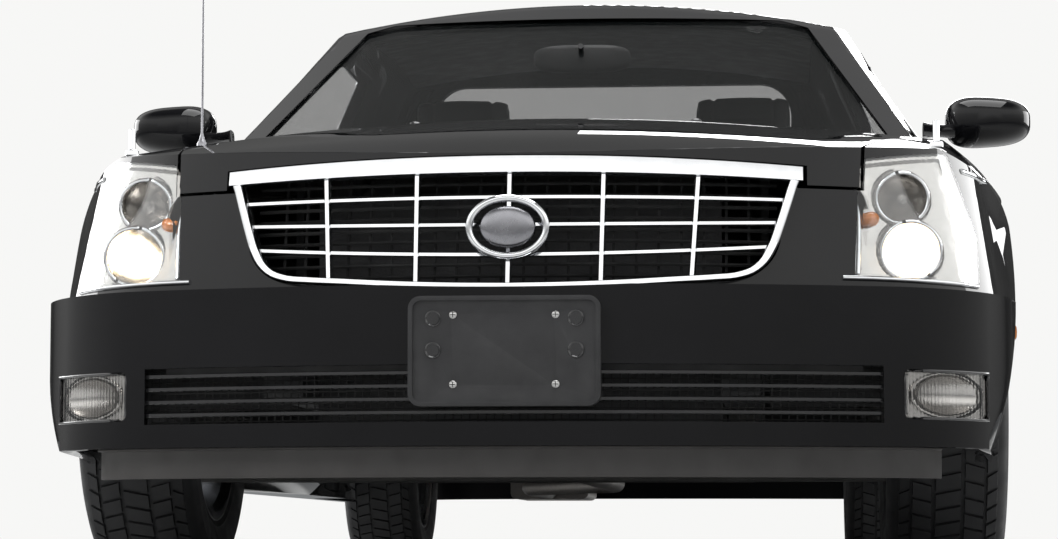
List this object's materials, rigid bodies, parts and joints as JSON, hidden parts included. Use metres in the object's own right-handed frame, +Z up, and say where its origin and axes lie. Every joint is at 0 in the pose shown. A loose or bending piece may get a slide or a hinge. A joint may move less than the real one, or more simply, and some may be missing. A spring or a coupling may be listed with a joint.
{
  "type": "flower car",
  "caption": "Funeral flower car with a closed cab, a long open stainless flower bed with chrome side rails, and a drop-down tailgate.",
  "frame": {"origin": "on the ground, midway along the length and on the centre line", "axes": "-Y towards the nose, +X towards the car's left, +Z up"},
  "size_m": [2.12, 6.1, 1.7402],
  "materials": {
    "body_paint": "gloss black lacquer",
    "structure": "satin black underbody paint",
    "bumper_paint": "gloss black painted plastic",
    "trim_plastic": "textured dark plastic",
    "chrome": "bright chrome plate",
    "lamp_shell": "metallised lamp housing",
    "clear_lens": "clear polycarbonate",
    "red_lens": "red lens",
    "glass": "lightly tinted safety glass",
    "stainless": "brushed stainless steel",
    "rubber": "black rubber",
    "tyre": "black tyre rubber",
    "alloy": "machined alloy",
    "iron": "cast iron",
    "leather": "black leather",
    "interior": "black interior plastic",
    "radiator": "dark coated cooling core"
  },
  "bodies": {
    "body": {"cab_floor": "structure", "front_frame": "structure", "rear_frame": "structure", "front_fenders": "body_paint", "body_sides": "body_paint", "cab_shell": "body_paint", "front_bumper": "bumper_paint", "rear_bumper": "bumper_paint", "lower_grille": "trim_plastic", "air_dam": "trim_plastic", "grille": "chrome", "headlamp_housings": "lamp_shell", "headlamp_lenses": "clear_lens", "fog_lamps": "clear_lens", "plate_bracket": "trim_plastic", "radiator": "radiator", "engine_block": "iron", "front_suspension": "iron", "rear_suspension": "iron", "exhaust": "stainless", "fuel_tank": "trim_plastic", "fixed_glass": "glass", "instrument_panel": "interior", "steering_wheel": "interior", "seat_cushions": "leather", "seat_backs": "leather", "headrests": "leather", "seat_frames": "structure", "bed_liner": "stainless", "flower_deck": "rubber", "bed_rails": "chrome", "tail_lamps": "red_lens", "wipers": "trim_plastic", "antenna": "chrome", "flag_sockets": "chrome", "wheel_liners": "trim_plastic"},
    "hood": {"hood": "body_paint"},
    "tailgate": {"tailgate": "body_paint"},
    "door_left": {"door_left": "body_paint", "door_glass_left": "glass", "mirror_left": "body_paint"},
    "door_right": {"door_right": "body_paint", "door_glass_right": "glass", "mirror_right": "body_paint"},
    "knuckle_left": {"knuckle_left": "iron"},
    "knuckle_right": {"knuckle_right": "iron"},
    "wheel_front_left": {"tyre_front_left": "tyre", "rim_front_left": "alloy"},
    "wheel_front_right": {"tyre_front_right": "tyre", "rim_front_right": "alloy"},
    "wheel_rear_left": {"tyre_rear_left": "tyre", "rim_rear_left": "alloy"},
    "wheel_rear_right": {"tyre_rear_right": "tyre", "rim_rear_right": "alloy"}
  },
  "joints": [
    {"name": "steer_left", "type": "hinge", "parent": "body", "child": "knuckle_left", "pos_m": [0.7, -2.022, 0.215], "axis": [-0.2153, 0, 0.9765], "range_deg": [-30, 30]},
    {"name": "door_left_hinge", "type": "hinge", "parent": "body", "child": "door_left", "pos_m": [0.888, -1.457, 0.57], "axis": [0, 0, -1], "range_deg": [0, 65]},
    {"name": "wheel_front_left_spin", "type": "hinge", "parent": "knuckle_left", "child": "wheel_front_left", "pos_m": [0.7965, -2.022, 0.352], "axis": [1, 0, 0], "continuous": true},
    {"name": "wheel_rear_left_spin", "type": "hinge", "parent": "body", "child": "wheel_rear_left", "pos_m": [0.7965, 1.658, 0.352], "axis": [1, 0, 0], "continuous": true},
    {"name": "steer_right", "type": "hinge", "parent": "body", "child": "knuckle_right", "pos_m": [-0.7, -2.022, 0.215], "axis": [0.2153, 0, 0.9765], "range_deg": [-30, 30]},
    {"name": "door_right_hinge", "type": "hinge", "parent": "body", "child": "door_right", "pos_m": [-0.888, -1.457, 0.57], "axis": [0, 0, 1], "range_deg": [0, 65]},
    {"name": "wheel_front_right_spin", "type": "hinge", "parent": "knuckle_right", "child": "wheel_front_right", "pos_m": [-0.7965, -2.022, 0.352], "axis": [1, 0, 0], "continuous": true},
    {"name": "wheel_rear_right_spin", "type": "hinge", "parent": "body", "child": "wheel_rear_right", "pos_m": [-0.7965, 1.658, 0.352], "axis": [1, 0, 0], "continuous": true},
    {"name": "hood_hinge", "type": "hinge", "parent": "body", "child": "hood", "pos_m": [0, -1.632, 0.94], "axis": [-1, 0, 0], "range_deg": [0, 50]},
    {"name": "tailgate_hinge", "type": "hinge", "parent": "body", "child": "tailgate", "pos_m": [0, 3.007, 0.545], "axis": [-1, 0, 0], "range_deg": [0, 90]}
  ],
  "couplings": [
    {"joint": "steer_right", "follows": "steer_left", "ratio": 1}
  ]
}
